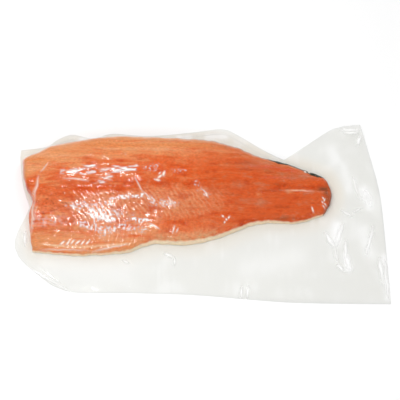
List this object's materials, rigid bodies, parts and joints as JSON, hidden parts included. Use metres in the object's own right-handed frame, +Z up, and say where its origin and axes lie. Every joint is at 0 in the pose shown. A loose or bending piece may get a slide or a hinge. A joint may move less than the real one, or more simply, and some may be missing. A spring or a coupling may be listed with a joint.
{
  "type": "vacuum-packed salted trout fillet",
  "caption": "Whole side of salted trout lying skin down, sealed in a clear vacuum pouch that clings to the flesh and spreads flat around it.",
  "frame": {"origin": "middle of the pack's box, on the surface that it lies on", "axes": "+X from the head cut to the tail, +Y towards the fish's back, +Z up out of the flesh"},
  "size_m": [0.4724, 0.242, 0.0281],
  "materials": {
    "flesh": "moist orange-red fish flesh with fine pale flakes and a thin grey skin underneath",
    "film": "clear glossy vacuum film with fine wrinkles"
  },
  "bodies": {
    "root": {"fillet": "flesh", "pouch": "film"}
  },
  "joints": []
}
